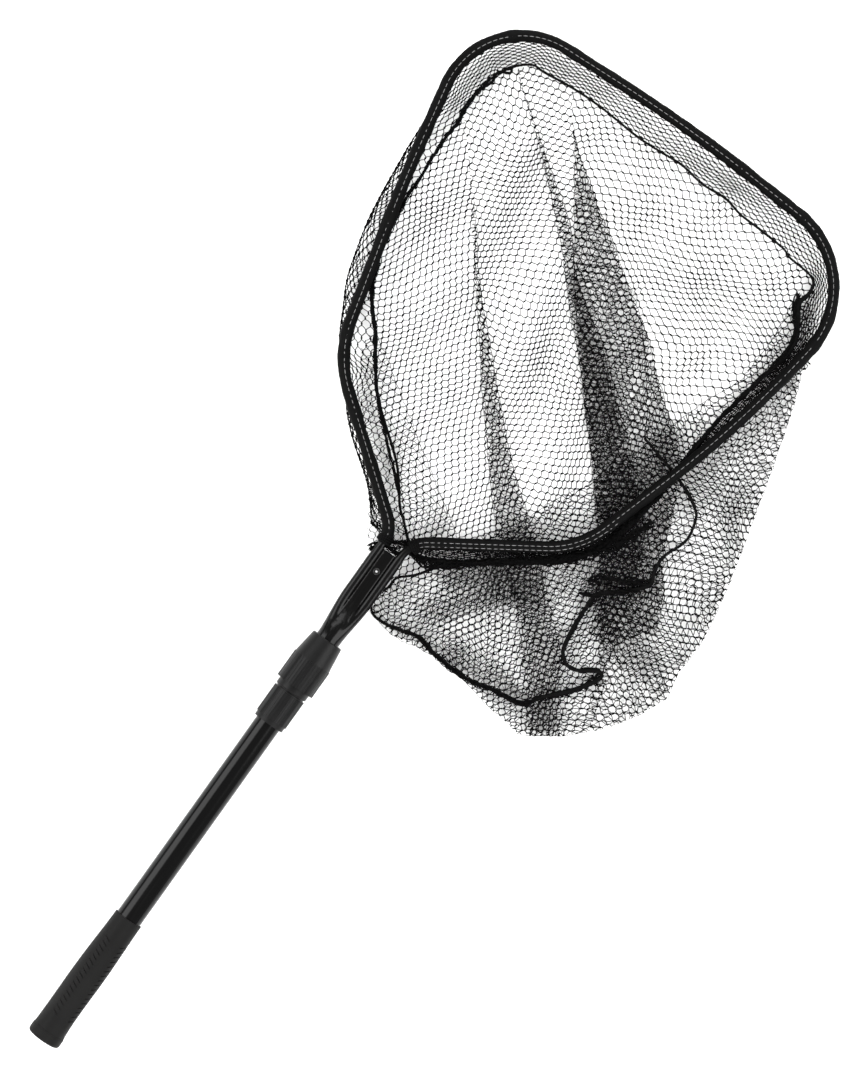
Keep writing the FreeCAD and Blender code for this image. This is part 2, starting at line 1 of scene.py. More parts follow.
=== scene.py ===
import bpy
import math
import numpy as np
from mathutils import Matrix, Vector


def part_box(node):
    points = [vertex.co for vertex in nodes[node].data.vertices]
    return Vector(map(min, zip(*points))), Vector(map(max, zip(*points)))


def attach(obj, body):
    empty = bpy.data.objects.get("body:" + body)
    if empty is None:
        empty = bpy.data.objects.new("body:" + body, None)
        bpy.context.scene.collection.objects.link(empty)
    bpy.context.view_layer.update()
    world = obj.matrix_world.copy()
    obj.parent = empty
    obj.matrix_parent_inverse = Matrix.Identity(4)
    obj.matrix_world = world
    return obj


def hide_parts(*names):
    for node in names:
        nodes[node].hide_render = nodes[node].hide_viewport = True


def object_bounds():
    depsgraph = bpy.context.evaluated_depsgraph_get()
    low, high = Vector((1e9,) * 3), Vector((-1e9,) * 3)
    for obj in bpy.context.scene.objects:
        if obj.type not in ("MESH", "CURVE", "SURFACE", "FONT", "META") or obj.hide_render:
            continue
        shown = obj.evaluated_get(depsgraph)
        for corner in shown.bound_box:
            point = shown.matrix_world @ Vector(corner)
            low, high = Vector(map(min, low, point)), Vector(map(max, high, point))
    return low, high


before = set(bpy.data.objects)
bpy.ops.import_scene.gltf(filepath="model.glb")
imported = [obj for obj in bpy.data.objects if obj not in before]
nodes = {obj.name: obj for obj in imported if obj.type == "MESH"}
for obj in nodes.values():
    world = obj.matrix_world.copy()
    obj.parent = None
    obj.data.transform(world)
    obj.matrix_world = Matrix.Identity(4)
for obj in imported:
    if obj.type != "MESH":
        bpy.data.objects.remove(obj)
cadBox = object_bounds()

mm = 0.001
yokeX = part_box("inner_tube")[1][0] / mm      # the hoop's arms leave the crimp here
floorZ = cadBox[0][2] / mm                   # lowest point of the collar

# routes and outlines, flat, in millimetres from the yoke

def evenly(points, step):
    # the same line with its points an even step apart
    points = np.array(points, float)
    runs = np.linalg.norm(np.diff(points, axis=0), axis=1)
    along = np.concatenate([[0], np.cumsum(runs)])
    count = max(2, int(round(along[-1] / step)) + 1)
    places = np.linspace(0, along[-1], count)
    return np.stack([np.interp(places, along, points[:, k]) for k in range(points.shape[1])], axis=1)


def softly(points, step):
    # a smooth line through every point
    points = np.array(points, float)
    padded = np.vstack([2 * points[0] - points[1], points, 2 * points[-1] - points[-2]])
    shares = np.linspace(0, 1, 12, endpoint=False)[:, None]
    pieces = []
    for a, b, c, d in zip(padded, padded[1:], padded[2:], padded[3:]):
        pieces.append(0.5 * (2 * b + (c - a) * shares + (2 * a - 5 * b + 4 * c - d) * shares ** 2
                             + (3 * b - a - 3 * c + d) * shares ** 3))
    return evenly(np.vstack(pieces + [points[-1:]]), step)


def roundedRoute(points, radii, step):
    # straight runs joined by arcs
    points = [np.array(p, float) for p in points]
    line = [points[0]]
    for before, at, after, radius in zip(points, points[1:], points[2:], radii):
        back = (before - at) / np.linalg.norm(before - at)
        ahead = (after - at) / np.linalg.norm(after - at)
        half = math.acos(np.dot(back, ahead)) / 2
        bisector = (back + ahead) / np.linalg.norm(back + ahead)
        centre = at + bisector * radius / math.sin(half)
        start = at + back * radius / math.tan(half) - centre
        end = at + ahead * radius / math.tan(half) - centre
        turn = math.atan2(start[0] * end[1] - start[1] * end[0], np.dot(start, end))
        for share in np.linspace(0, 1, 48):
            c, s = math.cos(turn * share), math.sin(turn * share)
            line.append(centre + np.array([c * start[0] - s * start[1], s * start[0] + c * start[1]]))
    line.append(points[-1])
    return evenly(line, step)


def headings(route):
    ahead = np.gradient(route, axis=0)
    return ahead / np.linalg.norm(ahead, axis=1)[:, None]


def nearest(points, route):
    # index of the route's nearest point, and how far it is
    index = np.empty(len(points), int)
    reach = np.empty(len(points))
    for first in range(0, len(points), 4000):
        part = points[first:first + 4000]
        apart = np.linalg.norm(part[:, None, :] - route[None, :, :], axis=2)
        index[first:first + 4000] = apart.argmin(axis=1)
        reach[first:first + 4000] = apart.min(axis=1)
    return index, reach


def inside(points, outline):
    # which points lie inside a closed outline
    result = np.zeros(len(points), bool)
    x, y = points[:, 0], points[:, 1]
    for (ax, ay), (bx, by) in zip(outline, np.roll(outline, -1, axis=0)):
        if ay == by:
            continue
        crosses = (ay > y) != (by > y)
        result ^= crosses & (x < (bx - ax) * (y - ay) / (by - ay) + ax)
    return result


def drift(seed, size, span):
    # a gentle uneven shift that varies over the plan, for anything that lies by hand
    dice = np.random.default_rng(seed)
    turns = dice.uniform(0, 2 * np.pi, (5, 2))
    phases = dice.uniform(0, 2 * np.pi, (5, 2))
    spans = span * dice.uniform(0.6, 1.7, (5, 2))

    def shift(points):
        moved = np.zeros((len(points), 2))
        for k in range(2):
            for turn, phase, length in zip(turns[:, k], phases[:, k], spans[:, k]):
                along = points[:, 0] * math.cos(turn) + points[:, 1] * math.sin(turn)
                moved[:, k] += np.sin(2 * np.pi * along / length + phase)
        return moved * size / 2.2

    return shift


def smoothStep(low, high, value):
    share = np.clip((value - low) / (high - low), 0, 1)
    return share * share * (3 - 2 * share)

# meshes

def meshPiece(name, vertices, faces, body="head"):
    # vertices in millimetres from the yoke; faces is an array of quads, or a list of polygons
    mesh = bpy.data.meshes.new(name)
    vertices = np.array(vertices, float)
    vertices[:, 0] += yokeX
    vertices *= mm
    if isinstance(faces, np.ndarray):
        mesh.vertices.add(len(vertices))
        mesh.vertices.foreach_set("co", vertices.ravel())
        mesh.loops.add(faces.size)
        mesh.loops.foreach_set("vertex_index", faces.ravel().astype(np.int32))
        mesh.polygons.add(len(faces))
        mesh.polygons.foreach_set("loop_start", np.arange(0, faces.size, faces.shape[1], dtype=np.int32))
        mesh.update(calc_edges=True)
    else:
        mesh.from_pydata(vertices.tolist(), [], faces)
    mesh.validate()
    mesh.shade_smooth()
    piece = bpy.data.objects.new(name, mesh)
    bpy.context.scene.collection.objects.link(piece)
    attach(piece, body)
    return piece


def acrossOf(ahead):
    # the level direction to one side of each heading
    side = np.cross(ahead, [0, 0, 1.0])
    return side / np.maximum(np.linalg.norm(side, axis=1), 1e-6)[:, None]


def strandTubes(points, radii):
    # many short closed tubes at once: points (n, rings, 3), radii (n, rings)
    count, rings = radii.shape
    ahead = points[:, -1] - points[:, 0]
    ahead /= np.maximum(np.linalg.norm(ahead, axis=1), 1e-6)[:, None]
    side = acrossOf(ahead)
    up = np.cross(side, ahead)
    corners = []
    for angle in (0.25, 0.75, 1.25, 1.75):
        out = math.cos(angle * math.pi) * side + math.sin(angle * math.pi) * up
        corners.append(points + out[:, None, :] * radii[:, :, None])
    vertices = np.stack(corners, axis=2).reshape(-1, 3)
    quads = []
    for ring in range(rings - 1):
        for k in range(4):
            n = (k + 1) % 4
            quads.append([ring * 4 + k, ring * 4 + n, ring * 4 + 4 + n, ring * 4 + 4 + k])
    last = (rings - 1) * 4
    quads.append([3, 2, 1, 0])
    quads.append([last, last + 1, last + 2, last + 3])
    first = np.arange(count)[:, None, None] * rings * 4
    return vertices, (first + np.array(quads)[None]).reshape(-1, 4)


def sweep(route, radius, sides, section=None):
    # a closed bar along a route in space; section(angle) can reshape its round outline
    route = np.array(route, float)
    count = len(route)
    radius = np.broadcast_to(np.array(radius, float), (count,))
    ahead = headings(route)
    side = acrossOf(ahead)
    up = np.cross(side, ahead)
    rings = []
    for k in range(sides):
        angle = 2 * math.pi * k / sides
        out, rise = (math.cos(angle), math.sin(angle)) if section is None else section(angle)
        rings.append(route + (side * out + up * rise) * radius[:, None])
    vertices = np.stack(rings, axis=1).reshape(-1, 3)
    faces = []
    for i in range(count - 1):
        for k in range(sides):
            n = (k + 1) % sides
            faces.append([i * sides + k, i * sides + n, (i + 1) * sides + n, (i + 1) * sides + k])
    faces.append(list(range(sides - 1, -1, -1)))
    faces.append([(count - 1) * sides + k for k in range(sides)])
    return vertices, faces


def together(parts):
    # several meshes as one
    allVertices, allFaces, first = [], [], 0
    for vertices, faces in parts:
        allVertices.append(vertices)
        allFaces += [[first + int(v) for v in face] for face in faces]
        first += len(vertices)
    return np.vstack(allVertices), allFaces


rope = {
    "strands": 3,
    "thickness": 0.56,               # a strand's radius as a share of the rope's
    "unevenness": 0.06,
    "sides": 7,
    "step": 2.0,                     # between two points of a cord's line
    "mouthLay": 11.0,                # how far a strand takes to go once round
    "hemLay": 9.0,
    "mouthWave": 0.6,                # rise and fall of the mouth's cord
    "mouthWaveLength": 9.0,
    "hemLift": 0.4,
}


def ropeStrands(route, radius, lay, seed):
    # strands laid up round a route; radius is the rope's own at each point
    ahead = headings(route)
    side = acrossOf(ahead)
    up = np.cross(side, ahead)
    run = np.concatenate([[0], np.cumsum(np.linalg.norm(np.diff(route, axis=0), axis=1))])
    uneven = np.random.default_rng(seed).normal(0, rope["unevenness"], (rope["strands"], len(route)))
    parts = []
    for k in range(rope["strands"]):
        turn = 2 * np.pi * (run / lay + k / rope["strands"])
        out = radius * (1 - rope["thickness"]) * (1 + uneven[k])
        line = route + side * (np.cos(turn) * out)[:, None] + up * (np.sin(turn) * out)[:, None]
        parts.append(sweep(line, radius * rope["thickness"], rope["sides"]))
    return together(parts)

# camera, floor and light

studio = {
    "aim": (0.7106, -0.0285),        # the point of the plan in the middle of the frame
    "turn": -54.47,                  # degrees about the vertical
    "height": 5.0,                   # the eye, in metres as the other lengths here
    "frameHeight": 1.204,            # how much of the hoop's level the frame takes in
    "sensor": 36.0,
    "floorSize": 30.0,
    "floorGap": 0.0002,              # how far below the collar it lies
    "floorTint": (0.92, 0.92, 0.915),
    "skyStrength": 0.68,
    "lampPower": 98.0,
    "lampSize": 2.2,
    "lampReach": 2.3,
    "lampHeight": 1.9,
    "lampBearings": (20, 110, 200, 290),
}


def makeStudio():
    eye = bpy.data.cameras.new("eye")
    eye.sensor_width = studio["sensor"]
    eye.lens = studio["sensor"] * studio["height"] / studio["frameHeight"]
    camera = bpy.data.objects.new("eye", eye)
    camera.location = (*studio["aim"], studio["height"])
    camera.rotation_euler = (0, 0, math.radians(studio["turn"]))
    bpy.context.scene.collection.objects.link(camera)
    bpy.context.scene.camera = camera

    half = studio["floorSize"] / 2
    x, y = studio["aim"]
    corners = [(x - half, y - half), (x + half, y - half), (x + half, y + half), (x - half, y + half)]
    mesh = bpy.data.meshes.new("floor")
    mesh.from_pydata([(a, b, floorZ * mm - studio["floorGap"]) for a, b in corners], [], [(0, 1, 2, 3)])
    floor = bpy.data.objects.new("floor", mesh)
    bpy.context.scene.collection.objects.link(floor)
    paper = bpy.data.materials.new("paper")
    paper.use_nodes = True
    shader = paper.node_tree.nodes["Principled BSDF"]
    shader.inputs["Base Color"].default_value = (*studio["floorTint"], 1)
    shader.inputs["Roughness"].default_value = 0.9
    shader.inputs["Specular IOR Level"].default_value = 0.1
    mesh.materials.append(paper)

    sky = bpy.data.worlds.new("sky")
    sky.use_nodes = True
    sky.node_tree.nodes["Background"].inputs["Color"].default_value = (1, 1, 1, 1)
    sky.node_tree.nodes["Background"].inputs["Strength"].default_value = studio["skyStrength"]
    bpy.context.scene.world = sky
    bpy.context.scene.view_settings.view_transform = "Standard"

    for number, bearing in enumerate(studio["lampBearings"]):
        lamp = bpy.data.lights.new("softbox%d" % number, "AREA")
        lamp.shape = "SQUARE"
        lamp.size = studio["lampSize"]
        lamp.energy = studio["lampPower"]
        softbox = bpy.data.objects.new("softbox%d" % number, lamp)
        angle = math.radians(bearing)
        reach, height = studio["lampReach"], studio["lampHeight"]
        softbox.location = (x + reach * math.cos(angle), y + reach * math.sin(angle), height)
        softbox.rotation_euler = (math.atan2(reach, height), 0, angle + math.pi / 2)
        bpy.context.scene.collection.objects.link(softbox)


makeStudio()
print("studio ready")

# finishes: shared groups

def place(tree, kind, inputs=None, **settings):
    node = tree.nodes.new(kind)
    for key, value in settings.items():
        setattr(node, key, value)
    for key, value in (inputs or {}).items():
        if isinstance(value, bpy.types.NodeSocket):
            tree.links.new(value, node.inputs[key])
        else:
            node.inputs[key].default_value = value
    return node


def newGroup(name, ins, outs):
    tree = bpy.data.node_groups.new(name, "ShaderNodeTree")
    for label, value in ins.items():
        socket = tree.interface.new_socket(name=label, in_out="INPUT", socket_type="NodeSocketFloat")
        socket.default_value = value
    for label in outs:
        tree.interface.new_socket(name=label, in_out="OUTPUT", socket_type="NodeSocketFloat")
    return tree, tree.nodes.new("NodeGroupInput"), tree.nodes.new("NodeGroupOutput")


def makeGrain():
    # fine pebbled grain with broad cloudy change over it
    tree, given, result = newGroup("mouldGrain", {"Size": 900.0, "Clouds": 18.0}, ["Height", "Cloud"])
    where = place(tree, "ShaderNodeTexCoord")
    fine = place(tree, "ShaderNodeTexNoise", {"Vector": where.outputs["Object"],
                                              "Scale": given.outputs["Size"], "Detail": 3.0,
                                              "Roughness": 0.6})
    clouds = place(tree, "ShaderNodeTexNoise", {"Vector": where.outputs["Object"],
                                                "Scale": given.outputs["Clouds"], "Detail": 4.0})
    tree.links.new(fine.outputs["Fac"], result.inputs["Height"])
    tree.links.new(clouds.outputs["Fac"], result.inputs["Cloud"])
    return tree


def makeStreaks():
    # long drawn lines along the pole, as a tube has from the die
    tree, given, result = newGroup("drawnStreaks", {"Fineness": 500.0, "Length": 6.0}, ["Height", "Mask"])
    where = place(tree, "ShaderNodeTexCoord")
    split = place(tree, "ShaderNodeSeparateXYZ", {"Vector": where.outputs["Object"]})
    alongX = place(tree, "ShaderNodeMath", {0: split.outputs["X"], 1: given.outputs["Length"]},
                   operation="MULTIPLY")
    alongY = place(tree, "ShaderNodeMath", {0: split.outputs["Y"], 1: given.outputs["Fineness"]},
                   operation="MULTIPLY")
    alongZ = place(tree, "ShaderNodeMath", {0: split.outputs["Z"], 1: given.outputs["Fineness"]},
                   operation="MULTIPLY")
    joined = place(tree, "ShaderNodeCombineXYZ", {"X": alongX.outputs[0], "Y": alongY.outputs[0],
                                                  "Z": alongZ.outputs[0]})
    noise = place(tree, "ShaderNodeTexNoise", {"Vector": joined.outputs["Vector"], "Scale": 1.0,
                                               "Detail": 3.0, "Roughness": 0.65})
    sharp = place(tree, "ShaderNodeMapRange", {"Value": noise.outputs["Fac"], "From Min": 0.52,
                                               "From Max": 0.72, "To Min": 0.0, "To Max": 1.0})
    tree.links.new(noise.outputs["Fac"], result.inputs["Height"])
    tree.links.new(sharp.outputs["Result"], result.inputs["Mask"])
    return tree


def makeFibres():
    # fine slanting filaments of a twisted or knitted thread
    tree, given, result = newGroup("twistedFibres", {"Pitch": 1400.0, "Fuzz": 2.0}, ["Height", "Mask"])
    where = place(tree, "ShaderNodeTexCoord")
    wave = place(tree, "ShaderNodeTexWave", {"Vector": where.outputs["Object"],
                                             "Scale": given.outputs["Pitch"],
                                             "Distortion": given.outputs["Fuzz"], "Detail": 2.0},
                 wave_type="BANDS", bands_direction="DIAGONAL")
    clouds = place(tree, "ShaderNodeTexNoise", {"Vector": where.outputs["Object"], "Scale": 60.0,
                                                "Detail": 3.0})
    tree.links.new(wave.outputs["Fac"], result.inputs["Height"])
    tree.links.new(clouds.outputs["Fac"], result.inputs["Mask"])
    return tree


grain = makeGrain()
streaks = makeStreaks()
fibres = makeFibres()


def finish(name, group, dark, light, rough, maskSocket="Mask", values=None, bump=0.1, bumpDistance=0.0002,
           specular=0.3, metallic=0.0, coat=0.0, coatRough=0.2):
    # one finish: two tones mixed by the group's mask, its roughness changing with it, and its bump
    material = bpy.data.materials.new(name)
    material.use_nodes = True
    tree = material.node_tree
    shader = tree.nodes["Principled BSDF"]
    effect = place(tree, "ShaderNodeGroup", node_tree=group)
    for key, value in (values or {}).items():
        effect.inputs[key].default_value = value
    tint = place(tree, "ShaderNodeMix", {"Factor": effect.outputs[maskSocket]}, data_type="RGBA")
    tint.inputs["A"].default_value = (*dark, 1)
    tint.inputs["B"].default_value = (*light, 1)
    tree.links.new(tint.outputs["Result"], shader.inputs["Base Color"])
    wear = place(tree, "ShaderNodeMapRange", {"Value": effect.outputs[maskSocket], "To Min": rough[0],
                                              "To Max": rough[1]})
    tree.links.new(wear.outputs["Result"], shader.inputs["Roughness"])
    relief = place(tree, "ShaderNodeBump", {"Height": effect.outputs["Height"], "Strength": bump,
                                            "Distance": bumpDistance})
    tree.links.new(relief.outputs["Normal"], shader.inputs["Normal"])
    shader.inputs["Specular IOR Level"].default_value = specular
    shader.inputs["Metallic"].default_value = metallic
    shader.inputs["Coat Weight"].default_value = coat
    shader.inputs["Coat Roughness"].default_value = coatRough
    return material


def grey(value, warm=0.0):
    return (value * (1 + warm), value, value * (1 - warm))


blackGloss = finish("blackGloss", streaks, grey(0.001), grey(0.003), (0.13, 0.24), bump=0.05, specular=0.1,
                    coat=0.05, coatRough=0.1)
gripRubber = finish("gripRubber", grain, grey(0.002, 0.03), grey(0.005, 0.03), (0.5, 0.64), "Cloud",
                    {"Size": 1400.0, "Clouds": 40.0}, bump=0.45, specular=0.08)
lockPlastic = finish("lockPlastic", grain, grey(0.002), grey(0.004), (0.34, 0.46), "Cloud",
                     {"Size": 2200.0, "Clouds": 30.0}, bump=0.22, specular=0.11)
rivetSteel = finish("rivetSteel", grain, grey(0.012), grey(0.03), (0.28, 0.45), "Cloud",
                    {"Size": 1500.0, "Clouds": 300.0}, specular=0.2, metallic=0.7)
innerPlastic = finish("innerPlastic", grain, grey(0.03), grey(0.04), (0.4, 0.5), "Cloud")
sleeveCloth = finish("sleeveCloth", grain, grey(0.001), grey(0.003), (0.5, 0.62), "Cloud",
                     {"Size": 1600.0, "Clouds": 60.0}, bump=0.5, bumpDistance=0.0003, specular=0.03)
# the stitches' light grey tone is painted highlight: it stands for the light dashes the stitches catch along
# the sleeve
stitchThreadPaintedHighlight = finish("stitchThreadPaintedHighlight", fibres, grey(0.13), grey(0.24), (0.5, 0.6), values={"Pitch": 2000.0},
                      bump=0.5)
netNylon = finish("netNylon", fibres, grey(0.001), grey(0.003), (0.5, 0.62), bump=0.4, specular=0.02)
cordNylon = finish("cordNylon", fibres, grey(0.001), grey(0.003), (0.5, 0.65), values={"Pitch": 1000.0},
                   bump=0.6, specular=0.03)


def paint(piece, material):
    piece.data.materials.clear()
    piece.data.materials.append(material)


def dress(node, material):
    # a carried-over CAD node keeps its mesh and takes a better material
    for slot in nodes[node].material_slots:
        slot.link = "OBJECT"
        slot.material = material


for name in ("handle_tube", "inner_tube", "hoop_frame"):
    dress(name, blackGloss)
dress("grip_sleeve", gripRubber)
for name in ("clamp_body", "lock_nut"):
    dress(name, lockPlastic)
for name in ("butt_plug", "collet", "guide_bush", "tube_spindle"):
    dress(name, innerPlastic)
for name in ("bush_washer", "bush_screw", "yoke_rivet"):
    dress(name, rivetSteel)
print("finishes ready")

# the hoop's line, and the cords sewn into the net

hoop = {
    "left": [(-74, 12.75), (21.2, 12.75), (145.9, 176.5), (348.3, 230.0), (569.5, 275.4)],
    "leftRadii": [36, 122.5, 2001, 93.4],
    "right": [(-74, -12.75), (22.6, -12.75), (127.8, -170.7), (340.2, -234.9), (569.5, -267.4)],
    "rightRadii": [36, 105, 1249, 106.2],
    "farMiddle": (583.5, 0),
    "farRadius": 1803,
    "step": 2.0,                     # between two points of the line
    "sleeveFrom": 4.0,               # how far past the yoke the left end of the sleeve lies
    "bareRight": 15.0,               # bare tube past there on the right
}
hoopLine = roundedRoute(hoop["left"] + [hoop["farMiddle"]] + hoop["right"][::-1],
                        hoop["leftRadii"] + [hoop["farRadius"]] + hoop["rightRadii"][::-1], hoop["step"])
startOfSleeve = int(np.argmax(hoopLine[:, 0] > hoop["sleeveFrom"]))
endOfSleeve = len(hoopLine) - startOfSleeve - int(hoop["bareRight"] / hoop["step"])
sleeveLine = hoopLine[startOfSleeve:endOfSleeve]

# where the band joins the bag, round the mouth: place, and the cord's radius there
mouthCord = [
    (20, -18, 2.6), (21, -12, 2.2), (29, -2, 1.9), (39, 9, 1.8), (50, 22, 1.8), (87, 53, 1.8),
    (136, 114, 2.0), (189, 155, 2.2), (227, 187, 2.6), (269, 204, 2.2),
    (324, 215, 1.8), (360, 217, 1.6), (405, 220, 1.6), (437, 219, 1.9), (454, 223, 1.5), (478, 221, 1.7),
    (497, 214, 1.8), (510, 215, 1.6), (517, 203, 1.9), (525, 204, 1.6), (539, 188, 1.5), (540, 172, 1.6),
    (544, 137, 1.6), (545, 98, 1.5), (542, 47, 1.6), (543, 16, 1.5), (545, -14, 1.6), (541, -45, 1.5),
    (543, -75, 1.7), (538, -100, 1.5), (537, -128, 1.7),
    (535, -161, 1.5), (531, -172, 1.5), (527, -206, 1.6), (512, -214, 2.6), (495, -211, 3.6),
    (479, -221, 3.4), (460, -232, 2.8), (437, -234, 2.4), (402, -226, 2.2), (345, -215, 2.4),
    (299, -211, 2.4), (263, -210, 2.6), (221, -207, 2.8), (174, -200, 3.2), (131, -182, 3.6),
    (104, -160, 3.6), (77, -125, 3.6), (43, -80, 3.6), (20, -41, 3.4), (14, -20, 2.8),
]
mouthRope = softly(mouthCord, rope["step"])
mouthLine = mouthRope[:, :2]

# the corded hem round the bag's bottom panel
hemCord = [
    (271, -158, 1.8), (265, -182, 1.9), (259, -205, 1.9), (253, -224, 2.2), (248, -236, 2.5),
    (241, -248, 2.2), (232, -257, 1.9), (205, -263, 1.9), (176, -253, 2.2), (155, -254, 2.6),
    (139, -258, 3.0), (114, -235, 3.0), (98, -217, 3.4), (79, -215, 2.6), (43, -217, 2.2), (21, -224, 2.4),
    (13, -243, 2.2), (28, -269, 2.8), (19, -273, 3.0), (-10, -254, 3.3), (-33, -233, 2.9), (-52, -219, 2.7),
    (-58, -183, 2.9), (-65, -152, 2.6), (-64, -108, 2.9), (-58, -82, 2.4), (-67, -48, 2.2), (-67, -24, 1.7),
    (-53, -16, 1.5), (-32, -21, 1.6), (-18, -23, 1.6), (-2, -39, 1.8), (24, -57, 2.0), (34, -72, 2.2),
]
hemRope = softly(hemCord, rope["step"])


# netting

net = {
    "along": 13.8,                   # a cell's size along the knitted legs, and across them
    "across": 8.7,
    "legHalf": 1.5,                  # half a knitted leg
    "legRadius": 1.45,
    "legTip": 0.85,
    "strandRadius": 0.63,
    "unevenness": 0.15,              # of a strand's thickness, up and down
    "jitter": 0.24,
    "bow": 0.35,                     # sideways, in the middle of a thin strand
    "sag": 0.25,
    "wave": 3.0,                     # how far the cells drift, and over what distance
    "waveSpan": 130.0,
    "margin": 12.0,                  # kept round the outline until it is cut
    "spare": 20.0,                   # cells reach this far past the outline's corner
    "offset": 5.0,                   # the most that a sheet's cells start off its middle
    "backFineness": 1.06,            # strand thickness where the sheets lie open, and in folds
    "frontFineness": 0.9,
    "foldFineness": 0.6,
    "foldStep": 4.5,
    "foldRadius": 0.42,
    "creaseRadius": 0.6,
    "foldWander": 0.7,
}


def clipStrands(starts, ends, outline):
    # keeps what lies inside the outline, and cuts the strands that cross it
    startIn = inside(starts, outline)
    endIn = inside(ends, outline)
    kept = startIn | endIn
    starts, ends = starts[kept].copy(), ends[kept].copy()
    startIn, endIn = startIn[kept], endIn[kept]
    for moving, fixed, cut in ((ends, starts, startIn & ~endIn), (starts, ends, endIn & ~startIn)):
        good, bad = fixed[cut].copy(), moving[cut].copy()
        for _ in range(7):
            middle = (good + bad) / 2
            within = inside(middle, outline)
            good[within] = middle[within]
            bad[~within] = middle[~within]
        moving[cut] = good
    return starts, ends


def latticeStrands(low, high, turn, along, across, skew, seed, wave, span):
    # legs and thin strands of a knitted net that fills a box, as two lists of (start, end)
    dice = np.random.default_rng(seed)
    ahead = np.array([math.cos(math.radians(turn)), math.sin(math.radians(turn))])
    over = np.array([-ahead[1], ahead[0]])
    p = (along * ahead + across * over + skew * ahead) / 2
    q = (along * ahead - across * over - skew * ahead) / 2
    middle = (np.array(low) + np.array(high)) / 2
    reach = np.linalg.norm(np.array(high) - np.array(low)) / 2 + net["spare"]
    count = int(reach / min(along, across) * 2.4)
    i, j = np.meshgrid(np.arange(-count, count + 1), np.arange(-count, count + 1), indexing="ij")
    centres = middle + i[..., None] * p + j[..., None] * q + dice.uniform(0, net["offset"], 2)
    size = centres.shape[:2]
    shift = drift(seed + 50, wave, span)
    flat = centres.reshape(-1, 2)
    moved = (flat + shift(flat)).reshape(*size, 2)
    left = moved - ahead * net["legHalf"] + dice.normal(0, net["jitter"], (*size, 2))
    right = moved + ahead * net["legHalf"] + dice.normal(0, net["jitter"], (*size, 2))
    legs = (left.reshape(-1, 2), right.reshape(-1, 2))
    starts = np.concatenate([right[:-1].reshape(-1, 2), right[:, :-1].reshape(-1, 2)])
    ends = np.concatenate([left[1:].reshape(-1, 2), left[:, 1:].reshape(-1, 2)])
    lowest, highest = np.array(low) - net["margin"], np.array(high) + net["margin"]
    near = np.all((starts > lowest) & (starts < highest), axis=1)
    nearLegs = np.all((legs[0] > lowest) & (legs[0] < highest), axis=1)
    return (legs[0][nearLegs], legs[1][nearLegs]), (starts[near], ends[near])


def raise3d(starts, ends, height, seed, isLeg):
    # strands in space, three rings each; a thin one bows and sags a little in the middle
    dice = np.random.default_rng(seed)
    middles = (starts + ends) / 2
    if not isLeg:
        middles = middles + dice.normal(0, net["bow"], middles.shape)
    points = np.stack([starts, middles, ends], axis=1)
    levels = height(points.reshape(-1, 2)).reshape(-1, 3)
    if not isLeg:
        levels[:, 1] -= net["sag"]
    points = np.concatenate([points, levels[..., None]], axis=2)
    if isLeg:
        radii = np.tile([net["legTip"], net["legRadius"], net["legTip"]], (len(points), 1))
    else:
        radii = np.full((len(points), 3), net["strandRadius"])
    radii *= dice.uniform(1 - net["unevenness"], 1 + net["unevenness"], (len(points), 1))
    return points, radii


def layPanel(outline, height, seed, turn, along=net["along"], across=net["across"], skew=0.0,
             wave=net["wave"], span=net["waveSpan"], fineness=net["foldFineness"]):
    # a flat panel of netting cut to its outline and laid at a height
    outline = np.array(outline, float)
    low, high = outline.min(0), outline.max(0)
    legs, strands = latticeStrands(low, high, turn, along, across, skew, seed, wave, span)
    made = []
    for (starts, ends), isLeg in ((legs, True), (strands, False)):
        starts, ends = clipStrands(starts, ends, outline)
        points, radii = raise3d(starts, ends, height, seed + isLeg, isLeg)
        made.append((points, radii * fineness))
    return made


def foldEdge(points, height, seed, radius=net["foldRadius"]):
    # the doubled edge of a fold: one thin strand that wanders a little
    dice = np.random.default_rng(seed)
    line = softly(points, net["foldStep"])
    line = line + dice.normal(0, net["foldWander"], line.shape)
    route = np.column_stack([line, height(line)])
    middles = (route[:-1] + route[1:]) / 2
    rings = np.stack([route[:-1], middles, route[1:]], axis=1)
    return [(rings, np.full(rings.shape[:2], radius))]


def netPiece(name, layers, *replaced):
    points = np.concatenate([layer[0] for layer in layers])
    radii = np.concatenate([layer[1] for layer in layers])
    vertices, faces = strandTubes(points, radii)
    piece = meshPiece(name, vertices, faces)
    paint(piece, netNylon)
    if replaced:
        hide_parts(*replaced)
    print(name, len(points), "strands")
    return piece


# how the bag lies: the back sheet on the floor in pleats, and the front sheet over it
bag = {
    "floorClear": 1.7,
    "mouthLevel": -12.7,
    "mouthReach": 22.0,              # how far from the mouth the back sheet reaches the floor
    "pleatStep": 1.4,                # how much higher each pleat lies
    "backRipple": 0.8,
    "frontLevel": -14.5,
    "edgeLevel": -20.8,
    "edgeReach": 60.0,               # how far from the bag's edge the front sheet is level
    "frontRipple": 0.9,
    "rippleSpan": 90.0,
}
ripple = drift(7, 1.0, bag["rippleSpan"])
rightEdge = [
    (434, -259), (398, -274), (332, -294), (269, -311), (198, -330), (126, -344), (79, -343), (48, -349),
]
bottomEdge = [
    (48, -349), (16, -335), (-8, -320), (-25, -308), (-56, -276), (-82, -235), (-78, -210), (-76, -189),
    (-70, -160), (-65, -127), (-68, -92), (-74, -53), (-66, -24),
]
bagEdge = softly(rightEdge + bottomEdge[1:], 6.0)


def backHeight(pleats):
    def height(points):
        reach = nearest(points, mouthLine[::3])[1]
        floor = floorZ + bag["floorClear"]
        rise = (bag["mouthLevel"] - floor) * np.exp(-(reach / bag["mouthReach"]) ** 2)
        return floor + rise + pleats * bag["pleatStep"] + bag["backRipple"] * (1 + ripple(points)[:, 0])
    return height


